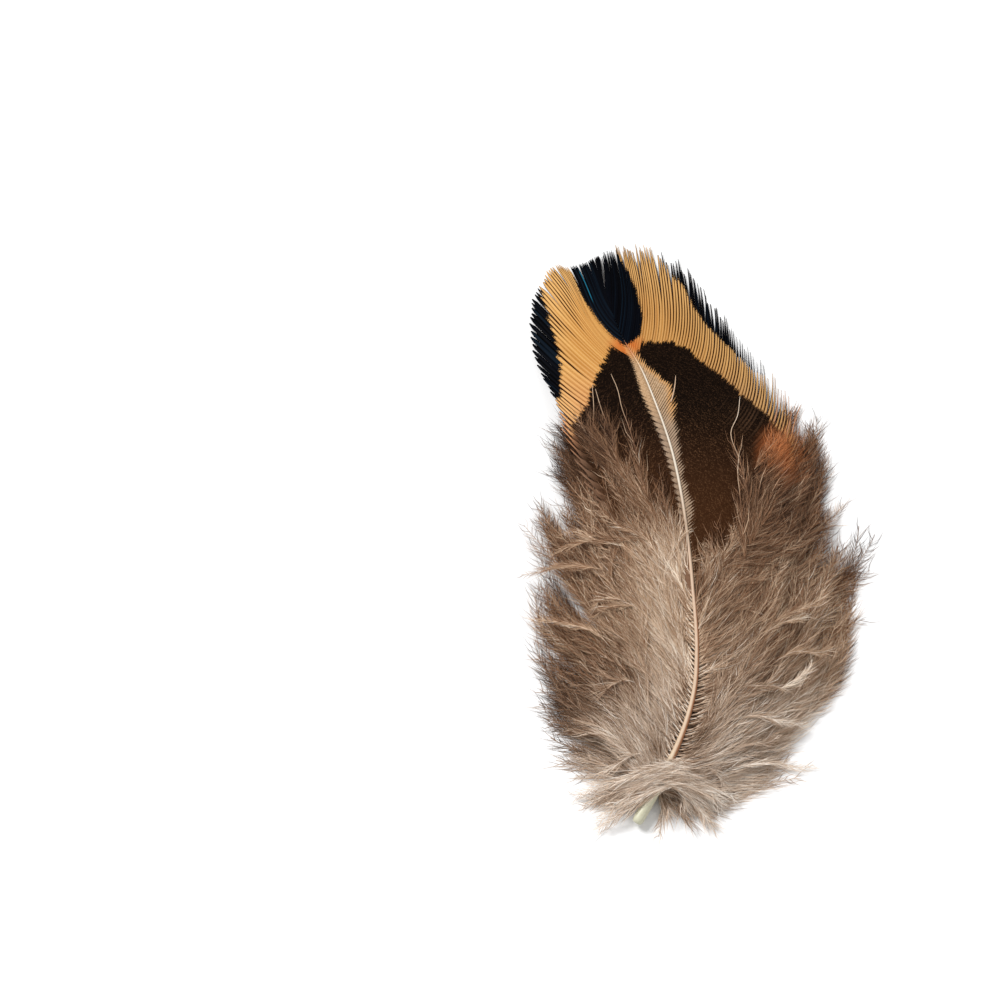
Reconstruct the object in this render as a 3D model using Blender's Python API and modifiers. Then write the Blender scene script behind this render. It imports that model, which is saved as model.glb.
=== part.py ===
"""A pheasant's body feather that lies with its outer face up, grown as one piece.

The quill, the firm vane, the down and the afterfeather are one solid. Lengths are in millimetres
until MM makes them metres. Y runs along the feather towards its tip, X across it and Z up from the
surface that it lies on. The shaft never turns back on itself, so Y also names a station along it.
"""

import random

import bmesh
import bpy
import numpy as np

MM = 0.001

# The middle of the finished feather's outline, which becomes the origin
MIDDLE = (2.2, 4.26)

# Shaft, from the quill's end to where it dies out in the dark tip: station Y, then X and Z
QUILL_END = -27.5
SHAFT_TIP = 29.2
SHAFT = [
    (QUILL_END, -3.9, 0.8),
    (-23.1, -1.3, 1.8),
    (-18.9, 0.7, 3.1),
    (-15.0, 1.8, 4.1),
    (-11.5, 2.05, 4.9),
    (-5.5, 1.8, 5.75),
    (-1.0, 1.5, 5.9),
    (4.7, 0.95, 5.7),
    (9.7, 0.2, 5.05),
    (15.7, -1.3, 4.05),
    (20.3, -2.75, 3.15),
    (23.2, -4.1, 2.6),
    (SHAFT_TIP, -5.8, 1.4),
]
SHAFT_RADII = [(QUILL_END, 0.68), (-20.0, 0.58), (-5.0, 0.48), (10.0, 0.38), (SHAFT_TIP, 0.3)]
SHAFT_RINGS = 26

# Where the barbs end: station on the shaft, then the tip's X and Y and its heading from +Y in degrees
BARB_TIPS = {
    -1: [
        (-24.5, -11.0, -23.5, -75),
        (-19.0, -14.5, -10.5, -30),
        (-11.5, -14.2, 1.5, -24),
        (-4.0, -13.2, 8.8, -22),
        (3.0, -11.3, 13.0, -34),
        (7.0, -11.0, 15.2, -42),
        (13.2, -13.1, 23.0, -40),
        (17.7, -12.7, 30.5, -33),
        (20.9, -11.0, 33.9, -30),
        (22.5, -9.6, 33.4, -26),
        (SHAFT_TIP, -6.4, 34.8, -12),
    ],
    1: [
        (-24.5, 12.0, -22.5, 75),
        (-19.0, 18.4, -9.5, 20),
        (-12.5, 19.3, -1.0, 14),
        (-7.0, 18.3, 7.0, 10),
        (-3.0, 16.6, 12.3, 6),
        (1.8, 13.6, 17.6, 0),
        (6.4, 9.5, 22.9, -4),
        (10.8, 6.1, 28.2, -6),
        (15.5, 2.2, 33.9, -8),
        (19.4, -1.6, 36.0, -8),
        (22.5, -3.9, 36.2, -10),
        (SHAFT_TIP, -6.4, 34.8, -12),
    ],
}
# The angle between shaft and barb where it leaves the shaft: station, then degrees
BARB_LEAVES = [(-24.5, 85), (-19, 75), (-10, 64), (0, 52), (10, 44), (22.5, 36), (SHAFT_TIP, 0)]
BARB_BOW = 0.38
CAMBER = 0.018

# Vane: the firm web, how much of each barb it takes at its lower end, and its split edges
WEB_START = -6.0
WEB_SHARE = [(WEB_START, 0.16), (0.0, 0.5), (5.0, 0.85), (9.0, 1.0), (SHAFT_TIP, 1.0)]
WEB_ROWS = 24
WEB_COLUMNS = 6
WEB_THICKNESS = 0.42
WEB_NOTCH = 0.06
WEB_SPLITS = {-1: (11, 20), 1: (9, 15, 20)}
SPLIT_DEPTH = 0.16

# Down: locks to each side in two layers, each with its share of the barb's length and of the crown's height
DOWN_START = -24.5
DOWN_END = 4.5
LAYERS = [
    {"locks": 17, "reach": 1.0, "lift": 1.05, "belly": 1.3},
    {"locks": 11, "reach": 0.8, "lift": 0.20, "belly": 1.35},
]
LOCK_POINTS = 6
LOCK_ROOT = 0.28
LOCK_TIP = 0.14
LOCK_SWAY = 1.3
LOCK_SPREAD = 0.09

# Afterfeather: a small plume under the shaft, which forks off at the top of the quill
AFTER_SHAFT = [(-21.5, -0.3, 2.2), (-14.0, 1.2, 2.5), (-6.0, 1.6, 2.2), (2.0, 1.2, 1.5)]
AFTER_RADII = (0.4, 0.16)
AFTER_RINGS = 8
AFTER_LOCKS = 5
AFTER_LEAVES = 42
AFTER_REACH = (8.0, 4.5)
AFTER_BELLY = 0.95

# The down presses flat on what the feather lies on
PRESS = 0.25

IVORY = (0.78, 0.70, 0.55, 1.0)
GOLD_BROWN = (0.45, 0.22, 0.07, 1.0)
TAUPE = (0.33, 0.25, 0.19, 1.0)


def clear_scene():
    for old in list(bpy.data.objects):
        bpy.data.objects.remove(old, do_unlink=True)


def collection(name):
    made = bpy.data.collections.new(name)
    bpy.context.scene.collection.children.link(made)
    return made


def material(name, colour, roughness):
    made = bpy.data.materials.new(name)
    made.use_nodes = True
    made.diffuse_color = colour
    shader = made.node_tree.nodes["Principled BSDF"]
    shader.inputs["Base Color"].default_value = colour
    shader.inputs["Roughness"].default_value = roughness
    shader.inputs["Metallic"].default_value = 0.0
    return made


def smooth(knots, at):
    """Values on a smooth curve through the knots, whose first column is what it runs along."""
    knots = np.array(knots, float)
    x, y = knots[:, 0], knots[:, 1:]
    slope = np.gradient(y, x, axis=0)
    at = np.asarray(at, float)
    i = np.clip(np.searchsorted(x, at) - 1, 0, len(x) - 2)
    step = x[i + 1] - x[i]
    t = ((at - x[i]) / step)[..., None]
    step = step[..., None]
    return (
        y[i] * (1 + 2 * t) * (1 - t) ** 2
        + slope[i] * step * t * (1 - t) ** 2
        + y[i + 1] * t * t * (3 - 2 * t)
        + slope[i + 1] * step * t * t * (t - 1)
    )


def straight(knots, at):
    knots = np.array(knots, float)
    return np.interp(at, knots[:, 0], knots[:, 1])


def shaft_points(stations):
    across_and_up = smooth(SHAFT, stations)
    return np.column_stack([across_and_up[:, 0], stations, across_and_up[:, 1]])


def crown(points):
    """Height of the feather's upper face over plan points: arched along it and cambered across."""
    on_shaft = np.clip(points[:, 1], QUILL_END, SHAFT_TIP)
    middle = shaft_points(on_shaft)
    beyond = np.maximum(points[:, 1] - SHAFT_TIP, 0)
    height = middle[:, 2] - 0.2 * beyond - CAMBER * (points[:, 0] - middle[:, 0]) ** 2
    return np.maximum(height, WEB_THICKNESS / 2)


def heading(degrees):
    return np.array([np.sin(np.radians(degrees)), np.cos(np.radians(degrees))])


def barb(side, station, shares):
    """Plan points of the barb that leaves the shaft at this station, at these shares of its length."""
    foot, ahead = shaft_points(np.array([station, station + 0.1]))[:, :2]
    tip_x, tip_y, tip_heading = smooth(BARB_TIPS[side], [station])[0]
    tip = np.array([tip_x, tip_y])
    along = np.degrees(np.arctan2(*(ahead - foot)))
    leaves = heading(along + side * straight(BARB_LEAVES, station))
    reach = BARB_BOW * np.linalg.norm(tip - foot)
    near, far = foot + leaves * reach, tip - heading(tip_heading) * reach
    t = np.asarray(shares, float)[:, None]
    return (
        foot * (1 - t) ** 3
        + 3 * near * t * (1 - t) ** 2
        + 3 * far * t * t * (1 - t)
        + tip * t ** 3
    )


def placed(point):
    """A point in metres, about the finished feather's own origin."""
    return ((point[0] - MIDDLE[0]) * MM, (point[1] - MIDDLE[1]) * MM, point[2] * MM)


def tapered_tube(name, points, radii, sides_level, finish):
    """A round tapered rod along the points, as a closed mesh."""
    curve = bpy.data.curves.new(name, "CURVE")
    curve.dimensions = "3D"
    curve.bevel_depth = 1.0
    curve.bevel_resolution = sides_level
    curve.use_fill_caps = True
    spline = curve.splines.new("POLY")
    spline.points.add(len(points) - 1)
    for point, place, radius in zip(spline.points, points, radii):
        point.co = (*placed(place), 1.0)
        point.radius = radius * MM
    guide = bpy.data.objects.new(name, curve)
    bpy.context.scene.collection.objects.link(guide)
    graph = bpy.context.evaluated_depsgraph_get()
    mesh = bpy.data.meshes.new_from_object(guide.evaluated_get(graph))
    bpy.data.objects.remove(guide, do_unlink=True)
    closed = bmesh.new()
    closed.from_mesh(mesh)
    bmesh.ops.remove_doubles(closed, verts=closed.verts, dist=0.00001)
    bmesh.ops.recalc_face_normals(closed, faces=closed.faces)
    closed.to_mesh(mesh)
    closed.free()
    mesh.materials.clear()
    mesh.materials.append(finish)
    return bpy.data.objects.new(name, mesh)


def make_shaft(finish):
    stations = np.linspace(QUILL_END, SHAFT_TIP, SHAFT_RINGS)
    radii = straight(SHAFT_RADII, stations)
    radii[0] *= 0.6
    return tapered_tube("feather", shaft_points(stations), radii, 2, finish)


def web_half(side, station, index):
    """Shaft to edge of the web at one station: rows end longer and shorter in turn, some in a split."""
    edge = 1.0
    if index < WEB_ROWS - 1:
        edge -= WEB_NOTCH * (index % 2) + SPLIT_DEPTH * (index in WEB_SPLITS[side])
    shares = np.linspace(0, edge * straight(WEB_SHARE, station), WEB_COLUMNS + 1)
    return barb(side, station, shares)


def make_vane(finish):
    stations = np.linspace(WEB_START, SHAFT_TIP, WEB_ROWS)
    grid = bmesh.new()
    rows = []
    for index, station in enumerate(stations):
        row = np.vstack([web_half(-1, station, index)[:0:-1], web_half(1, station, index)])
        heights = crown(row)
        rows.append([grid.verts.new(placed((x, y, z))) for (x, y), z in zip(row, heights)])
    for below, above in zip(rows, rows[1:]):
        for a, b, c, d in zip(below, below[1:], above[1:], above):
            grid.faces.new((a, b, c, d))
    bmesh.ops.remove_doubles(grid, verts=grid.verts, dist=0.00002)
    bmesh.ops.dissolve_degenerate(grid, edges=grid.edges, dist=0.00001)
    mesh = bpy.data.meshes.new("vane")
    grid.to_mesh(mesh)
    grid.free()
    mesh.materials.append(finish)
    vane = bpy.data.objects.new("vane", mesh)
    wall = vane.modifiers.new("wall", "SOLIDIFY")
    wall.thickness = WEB_THICKNESS * MM
    wall.offset = 0.0
    return vane


def lock_radii(belly):
    """Thin at the root, full past the middle and drawn out to a point."""
    t = np.linspace(0, 1, LOCK_POINTS)
    full = np.sin(np.pi * t ** 0.85) ** 0.8
    return LOCK_ROOT * (1 - t) + LOCK_TIP * t + (belly - LOCK_ROOT) * full


def make_lock(side, station, layer, chance, finish):
    reach = layer["reach"] * (1 - chance.uniform(0, LOCK_SPREAD))
    shares = np.linspace(0, reach, LOCK_POINTS)
    plan = barb(side, station, shares)
    plan[:, 1] += LOCK_SWAY * shares ** 2 * chance.uniform(-1, 1)
    root = shaft_points(np.array([station]))[0]
    radii = lock_radii(layer["belly"] * chance.uniform(0.9, 1.1))
    settle = 1 - (1 - shares / reach) ** 2
    height = (root[2] - 0.1) * (1 - settle) + layer["lift"] * crown(plan) * settle
    height = np.maximum(height, radii - PRESS)
    height[0] = root[2]
    points = np.column_stack([plan, height])
    return tapered_tube("lock", points, radii, 1, finish)


def after_points(stations):
    across_and_up = smooth(AFTER_SHAFT, stations)
    return np.column_stack([across_and_up[:, 0], stations, across_and_up[:, 1]])


def make_after_lock(side, share, finish):
    """One lock of the afterfeather, fanned out below the shaft and down to the surface."""
    start, end = AFTER_SHAFT[0][0], AFTER_SHAFT[-1][0]
    root = after_points(np.array([start + (end - start) * share]))[0]
    t = np.linspace(0, 1, LOCK_POINTS)
    reach = AFTER_REACH[0] + (AFTER_REACH[1] - AFTER_REACH[0]) * share
    turned = np.radians(side * AFTER_LEAVES * (1 - 0.5 * t))
    plan = root[:2] + reach * t[:, None] * np.column_stack([np.sin(turned), np.cos(turned)])
    radii = lock_radii(AFTER_BELLY)
    height = np.maximum(root[2] * (1 - t) ** 1.5, radii - PRESS)
    height[0] = root[2]
    return tapered_tube("after_lock", np.column_stack([plan, height]), radii, 1, finish)


def make_afterfeather(finish):
    stations = np.linspace(AFTER_SHAFT[0][0], AFTER_SHAFT[-1][0], AFTER_RINGS)
    radii = np.linspace(*AFTER_RADII, AFTER_RINGS)
    pieces = [tapered_tube("after_shaft", after_points(stations), radii, 1, finish)]
    for count in range(AFTER_LOCKS):
        share = (count + 0.5) / AFTER_LOCKS
        pieces += [make_after_lock(side, share, finish) for side in (-1, 1)]
    return pieces


def make_down(finish):
    chance = random.Random(7)
    locks = []
    for depth, layer in enumerate(LAYERS):
        pitch = (DOWN_END - DOWN_START) / layer["locks"]
        for side in (-1, 1):
            for count in range(layer["locks"]):
                station = DOWN_START + pitch * (count + 0.3 + 0.4 * depth)
                locks.append(make_lock(side, station, layer, chance, finish))
    return locks


def make_ground():
    """A block below the surface that the feather lies on."""
    bpy.ops.mesh.primitive_cube_add(size=0.2, location=(0, 0, -0.1))
    ground = bpy.context.object
    ground.name = "ground"
    for holder in list(ground.users_collection):
        holder.objects.unlink(ground)
    return ground


def hidden(helper, group):
    group.objects.link(helper)
    helper.hide_render = True
    helper.display_type = "WIRE"


def grown_together(shaft, grown_on, ground):
    """The shaft with all that grows on it as one body, flat where it lies on the ground."""
    grow = shaft.modifiers.new("grow", "BOOLEAN")
    grow.operation = "UNION"
    grow.operand_type = "COLLECTION"
    grow.collection = grown_on
    grow.solver = "MANIFOLD"
    lie = shaft.modifiers.new("lie", "BOOLEAN")
    lie.operation = "DIFFERENCE"
    lie.object = ground
    lie.solver = "MANIFOLD"
    graph = bpy.context.evaluated_depsgraph_get()
    mesh = bpy.data.meshes.new_from_object(shaft.evaluated_get(graph))
    shaft.modifiers.clear()
    return mesh


def without_pockets(mesh):
    """Fills the small sealed pockets that the crossing locks close between them."""
    whole = bmesh.new()
    whole.from_mesh(mesh)
    left = set(whole.faces)
    shells = []
    while left:
        shell, edge = set(), [left.pop()]
        while edge:
            face = edge.pop()
            shell.add(face)
            near = {other for side in face.edges for other in side.link_faces} & left
            left -= near
            edge += near
        shells.append(shell)
    outer = max(shells, key=len)
    pockets = [face for face in whole.faces if face not in outer]
    bmesh.ops.delete(whole, geom=pockets, context="FACES")
    whole.to_mesh(mesh)
    whole.free()


def main():
    clear_scene()
    horn = material("horn", IVORY, 0.35)
    web = material("web", GOLD_BROWN, 0.5)
    fluff = material("down", TAUPE, 0.85)
    feathers = collection("pheasant_feather")
    grown_on = collection("grown_on")
    cutters = collection("cutters")

    feather = make_shaft(horn)
    feathers.objects.link(feather)
    hidden(make_vane(web), grown_on)
    for lock in make_down(fluff) + make_afterfeather(fluff):
        hidden(lock, grown_on)
    ground = make_ground()
    hidden(ground, cutters)

    feather.data = grown_together(feather, grown_on, ground)
    without_pockets(feather.data)
    feather.data.name = "feather"
    grown_on.hide_render = True
    cutters.hide_render = True


main()
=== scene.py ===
"""The looks of a pheasant's body feather that lies with its outer face up.

The shaft, the firm vane, the down, the afterfeather and a few loose barbs are modelled around the
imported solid, then lit on a pale floor and seen through the photograph's camera. Lengths are in
millimetres until MM makes them metres. Y runs along the feather towards its tip, X across it and Z
up. A barb is named by its side of the shaft, -1 or 1, and by the station Y where it leaves it.
"""

import math

import bpy
import numpy as np
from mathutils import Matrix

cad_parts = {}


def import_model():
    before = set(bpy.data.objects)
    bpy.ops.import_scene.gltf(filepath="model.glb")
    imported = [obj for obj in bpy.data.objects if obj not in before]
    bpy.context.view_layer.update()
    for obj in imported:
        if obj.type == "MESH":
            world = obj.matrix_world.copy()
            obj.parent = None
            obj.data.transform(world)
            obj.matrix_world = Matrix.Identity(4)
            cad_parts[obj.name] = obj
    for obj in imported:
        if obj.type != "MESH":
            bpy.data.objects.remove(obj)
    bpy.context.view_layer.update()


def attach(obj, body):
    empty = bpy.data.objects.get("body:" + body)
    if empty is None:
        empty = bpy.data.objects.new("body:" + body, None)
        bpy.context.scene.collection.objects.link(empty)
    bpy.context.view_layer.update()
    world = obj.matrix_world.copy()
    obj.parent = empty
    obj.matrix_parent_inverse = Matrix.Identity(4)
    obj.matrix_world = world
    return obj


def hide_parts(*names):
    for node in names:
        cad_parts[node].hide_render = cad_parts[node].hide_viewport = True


MM = 0.001
SEED = 11
UP = np.array([0.0, 0.0, 1.0])

# The middle of the finished feather's outline, which is the origin
MIDDLE = (2.2, 4.26)

# Shaft: station Y, then X and Z
QUILL_END = -27.5
SHAFT_TIP = 29.2
SHAFT = [
    (QUILL_END, -3.9, 0.8), (-23.1, -1.3, 1.8), (-18.9, 0.7, 3.1), (-15.0, 1.8, 4.1),
    (-11.5, 2.05, 4.9), (-5.5, 1.8, 5.75), (-1.0, 1.5, 5.9), (4.7, 0.95, 5.7), (9.7, 0.2, 5.05),
    (15.7, -1.3, 4.05), (20.3, -2.75, 3.15), (23.2, -4.1, 2.6), (SHAFT_TIP, -5.8, 1.4),
]
SHAFT_RADII = [
    (QUILL_END, 0.54), (-25.2, 0.55), (-23.4, 0.42), (-21.0, 0.29), (-17.0, 0.24), (-10.0, 0.2),
    (0.0, 0.165), (10.0, 0.12), (22.0, 0.08), (24.0, 0.045), (SHAFT_TIP, 0.02),
]
SHAFT_SIDES = 16
SHAFT_RINGS = 70
# How far it sinks below the barbs past the notch
SHAFT_SINKS = 0.09
# The blunt end of the quill: how far each ring is from it and its share of the radius, and how far off the
# evenly spaced rings start
QUILL_ROUNDING = [(0.0, 0.5), (0.08, 0.82), (0.22, 0.95), (0.45, 1.0)]
SHAFT_FROM = 0.9

# Where the barbs end: station on the shaft, then the tip's X and Y and its heading from +Y in degrees
BARB_TIPS = {
    -1: [
        (-24.5, -11.0, -23.5, -75), (-19.0, -14.5, -10.5, -30), (-11.5, -14.2, 1.5, -24),
        (-5.0, -13.0, 8.8, -22), (0.5, -11.2, 13.0, -32), (3.5, -11.0, 15.2, -36),
        (10.0, -13.5, 23.0, -37), (16.2, -13.3, 30.0, -34), (20.0, -11.3, 33.6, -31),
        (22.5, -9.6, 33.4, -26), (SHAFT_TIP, -6.4, 34.8, -12),
    ],
    1: [
        (-24.5, 12.0, -22.5, 75), (-19.0, 18.4, -9.5, 20), (-12.5, 19.3, -1.0, 14),
        (-7.0, 18.3, 7.0, 10), (-3.0, 16.6, 12.3, 6), (1.8, 13.6, 17.6, 0), (6.4, 9.5, 22.9, -4),
        (10.8, 6.1, 28.2, -6), (15.5, 2.2, 33.9, -8), (19.4, -1.6, 36.0, -8), (22.5, -3.9, 36.2, -10),
        (SHAFT_TIP, -6.4, 34.8, -12),
    ],
}
# At what angle from the shaft they leave it: station, degrees
BARB_LEAVES = [(-24.5, 85), (-19, 75), (-10, 64), (0, 52), (10, 44), (22.5, 36), (SHAFT_TIP, 0)]
# How far a barb of the vane keeps to the way it leaves and to the way it ends, as shares of its reach
BARB_BOWS = {-1: (0.38, 0.38), 1: (0.3, 0.56)}
# How the upper face falls off to the sides and past the shaft's tip, and the lowest that it gets
CAMBER = 0.018
TIP_DROOP = 0.2
LOWEST_CROWN = 0.21

# Vane: where it starts and what share of each barb is firm
WEB_START = -6.0
WEB_SHARE = {
    -1: [(WEB_START, 0.16), (-2.5, 0.5), (1.5, 0.85), (4.5, 1.0), (SHAFT_TIP, 1.0)],
    1: [(WEB_START, 0.16), (-2.0, 0.4), (1.0, 0.7), (2.5, 0.92), (5.0, 1.0), (SHAFT_TIP, 1.0)],
}
# How far apart its barbs leave the shaft, and how many rings each has
VANE_PITCHES = {
    -1: [(WEB_START, 0.45), (2.0, 0.7), (12.0, 0.7), (16.5, 0.4), (20.0, 0.32)],
    1: [(WEB_START, 0.32), (SHAFT_TIP, 0.32)],
}
VANE_RINGS = 30
# A barb's section: across in half-widths and up in millimetres, from one edge over the top and back below,
# and how many of its points are on top
BARB_SECTION = [
    (-1.0, -0.02), (-0.9, -0.014), (-0.45, 0.01), (0.0, 0.045), (0.45, 0.01), (0.9, -0.014),
    (1.0, -0.02), (0.35, -0.05), (-0.35, -0.05),
]
TOP_SIDES = 7
# How much wider than their pitch its barbs are, how thin they may get at the tip and how much more at the
# root, how high their ridges rise and how much less they do on the velvety heart
OVERLAP = 1.06
THINNEST = (0.012, 0.05)
RIDGES = (0.7, 0.62)
# How unevenly they lie, and the height of the vane's own waves
UNEVEN = 0.006
WAVE = 0.1
# How much painted shade darkens the gaps between barbs and the most it gets, which share of them is darker
# and by how much, and what share of that is left near the notch and on the cream stripe
GAP_SHADE = {-1: 1.6, 1: 2.5}
DARKEST_GAP_SHADE = 1.25
DARK_GAP_SHADES = (0.12, 0.9)
GAP_SHADE_AT_NOTCH = {-1: 0.1, 1: 0.55}
GAP_SHADE_ON_STRIPE = {-1: 0.5, 1: 1.2}
# Below which Y the vane takes the colour of the down, and how much painted shade darkens its gold, most on
# the right half, which tilts away from the key lamp
FADES_BELOW = {-1: 3.0, 1: -6.0}
SIDE_SHADE = {-1: 0.1, 1: 0.85}
# From which share of its firm part a barb stands off from its neighbours
BARB_OPENS = {
    -1: [(WEB_START, 0.9), (2.0, 1.0), (14.8, 1.0), (18.2, 0.92), (SHAFT_TIP, 0.93)],
    1: [(WEB_START, 0.5), (2.0, 0.66), (5.0, 0.74), (9.0, 0.84), (12.0, 0.93), (SHAFT_TIP, 0.93)],
}
# What is left of their width past that, then the last share of them that narrows to a point, and to what
OPEN_WIDTH = 0.3
POINTED = {-1: 0.04, 1: 0.12}
POINT_WIDTH = 0.4
# The share of a barb past its firm part that the vane still shows where the down begins
LOOSE_PART = 0.12

# By how much of their length the barbs' tips fall short at most, by how many degrees a barb turns alone and
# a clump turns together, from which share of its length, and the least and most barbs in a clump
TIPS_VARY = {-1: 0.02, 1: 0.05}
BARBS_SWAY = {-1: 0.4, 1: 0.8}
SWAYS_FROM = 0.6
CLUMPING = {
    -1: [(WEB_START, 1.2), (2.0, 0.2), (14.8, 0.2), (18.2, 1.8), (SHAFT_TIP, 1.6)],
    1: [(WEB_START, 1.4), (12.0, 0.9), (17.0, 1.2), (20.0, 2.2), (SHAFT_TIP, 1.6)],
}
CLUMP_SIZES = (4, 9)

# Markings on the vane, as outlines over the plan, and how unevenly barbs end them
JAG = 0.12
HEART = [
    (-9.9, 11.5), (-9.4, 13.6), (-8.7, 14.8), (-8.3, 15.5), (-7.4, 18.5), (-6.6, 20.5), (-5.6, 22.7),
    (-4.6, 22.1), (-3.4, 21.6), (-2.1, 23.4), (-0.7, 23.3), (0.9, 23.4), (2.5, 22.7), (3.6, 21.2),
    (4.8, 20.3), (6.1, 19.2), (7.2, 17.9), (8.3, 16.8), (9.6, 15.9), (12.5, 12.0), (10.0, -8.0),
    (-8.0, -8.0),
]
WEDGE = [
    (-4.0, 22.5), (-5.4, 23.9), (-6.7, 25.8), (-8.4, 29.2), (-9.6, 33.3), (-10.5, 38.0), (-5.6, 38.0),
    (-4.7, 35.2), (-3.5, 32.6), (-2.7, 30.3), (-2.1, 26.5), (-2.4, 24.1),
]
EDGE_SPOTS = {
    -1: [
        (-12.5, 31.0), (-12.5, 30.3), (-11.5, 25.5), (-10.8, 22.4), (-10.6, 19.8), (-10.7, 17.0),
        (-13.0, 16.0), (-16.0, 22.0), (-16.0, 31.0),
    ],
    1: [
        (-0.6, 35.2), (1.0, 32.4), (2.3, 30.8), (3.5, 27.9), (4.3, 26.6), (6.8, 23.6), (8.7, 21.3),
        (9.8, 20.6), (10.6, 20.6), (12.0, 24.0), (9.0, 30.0), (4.0, 36.0),
    ],
}
# Where the four colours meet at the top of the shaft
NOTCH = (-3.9, 22.6)
# Cream stripe to each side of the shaft: how uneven and how toothed its edge is, then station and how far
# it reaches from the shaft
STRIPE_JAGS = {-1: 0.0, 1: 0.8}
STRIPE_TEETH = {-1: 0.1, 1: 0.7}
STRIPE = {
    -1: [
        (0.0, 0.1), (3.0, 0.4), (6.4, 0.48), (9.2, 0.62), (13.0, 0.8), (16.8, 1.0), (18.7, 0.82),
        (20.5, 0.5), (24.0, 0.3),
    ],
    1: [
        (0.0, 0.3), (3.0, 1.0), (4.5, 0.82), (6.4, 0.58), (9.2, 0.78), (12.1, 1.2), (14.0, 1.45),
        (15.2, 1.9), (17.0, 2.3), (17.9, 2.35), (18.3, 1.9), (19.3, 1.3), (20.4, 0.75), (22.0, 0.6),
        (24.0, 0.3),
    ],
}
# The one barb in the wedge that shows a painted teal glint of its sheen
TEAL_GLINT_BARB = [(-8.8, 32.7), (-6.8, 28.1)]

# Down: where its barbs start and end along the shaft, and where a layer is parted in two pieces
DOWN_START = -24.3
DOWN_ENDS = {-1: 3.0, 1: 3.6}
DOWN_SPLIT = -13.0
# How much longer than in LAYERS its lowest barbs keep to the way they leave, and all to the way they end
STAND_OUT = {-1: 0.02, 1: 0.13}
STEEPER = {-1: 0.0, 1: 0.1}
# How far the longest reach as a share of BARB_TIPS
DOWN_REACH = {-1: [(0.0, 1.12), (6.0, 1.12)], 1: [(0.5, 1.12), (3.6, 0.96)]}
# From which share of a barb its vane gives way to down
DOWN_FROM = [(WEB_START, 0.15), (0.0, 0.46), (6.0, 0.81)]
DOWN_RINGS = 24
# Where the barbs that sweep in over the feather end: station, then the tip's X and Y and its heading
SWEEP_TIPS = {
    -1: [
        (-24.5, -7.6, -15.5, -44), (-19.0, -6.6, -2.5, -32), (-14.0, -5.4, 7.0, -24),
        (-11.0, -4.6, 9.8, -14), (-9.0, -3.4, 8.6, -6), (-7.0, -1.6, 6.4, 4), (-5.5, -0.2, 4.2, 12),
        (-4.0, 0.7, 3.4, 12), (-2.4, 0.8, 2.8, 12), (-1.6, -3.0, 7.0, 2), (-0.4, -5.4, 11.6, -2),
        (3.2, -8.6, 14.2, -20),
    ],
    1: [
        (-24.5, 7.5, -17.5, 44), (-19.0, 9.0, -4.5, 26), (-16.0, 7.8, 0.6, 10), (-14.0, 6.6, 2.0, 0),
        (-12.0, 5.4, 1.6, -6), (-10.0, 4.2, 0.8, -8), (-7.5, 3.2, 0.0, -10), (-5.5, 3.2, -1.2, -10),
        (-4.0, 5.6, -1.8, -4), (-3.0, 8.0, -0.6, 0), (-1.5, 9.5, 4.2, -4), (0.0, 10.1, 9.4, -4),
        (5.0, 10.2, 16.4, -6),
    ],
}
# Layers of down from the lowest. Least and most share of that sweep, height as a share of the upper
# face's, how far above it the sweeping barbs lie, how much paler or darker the layer is, darker the lower it
# lies as painted shade, where it ends, its pitch, at what share of the usual angle its barbs leave the shaft,
# how they bow, how much of the usual waves they take, and whether they take the painted shade and have short
# barbules where the comb beside the shaft shows
LAYER_WORDS = "name sweep rise over tone last pitch leave bows waves shade short".split()
LAYERS = [
    dict(zip(LAYER_WORDS, row))
    for row in (
        ("deep", (0, 0.35), (0.08, 0.55), 0.0, -0.1, 30, 0.32, 1, (0.38, 0.38), 0.5, 1, 0),
        ("middle", (0, 0.85), (0.45, 0.95), 0.1, -0.02, 30, 0.32, 1, (0.24, 0.42), 0.75, 1, 1),
        ("close", (0.9, 1.08), (0.95, 1), 0.1, 0.0, -1.6, 0.45, 1, (0.06, 0.46), 0.7, 0, 1),
        ("top", (0.4, 1.1), (0.9, 1), 0.25, 0.08, 30, 0.32, 0.95, (0.08, 0.48), 0.9, 1, 1),
    )
]
# Bare feet of the barbs, which show beside the shaft like a comb: up to which Y, how far from the shaft it
# is full and where it ends, and how much painted shade darkens what lies between them
COMB_TOP = {-1: -3.0, 1: -13.0}
COMB_WIDTHS = {-1: (0.4, 1.8), 1: (0.5, 2.6)}
COMB_SHADE = {-1: 0.52, 1: 0.6}
# How wide the wisps are in which neighbouring barbs keep together, and how far the longest reach may vary
# with them and by chance
WISP = 1.7
REACH_VARIES = (0.1, 0.28)
# A downy barb's section, in half-widths
RAMUS_SECTION = [(-1.0, -0.5), (0.0, 1.0), (1.0, -0.5)]
# Down stays above the floor by this much, and is pressed by that share of what it stands above HIGH
LOWEST = 0.02
HIGH = 6.5
HIGH_PRESS = 0.6
# How pale the down is along the feather: station, then 0 to 1
DOWN_TONES = {
    -1: [(-24, 0.64), (-19, 0.6), (-15, 0.5), (-6, 0.47), (1, 0.43), (5, 0.34), (8, 0.21), (12, 0.06)],
    1: [(-24, 0.62), (-16, 0.58), (-6, 0.4), (-1, 0.32), (4, 0.26), (9, 0.26), (14, 0.28)],
}
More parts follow.
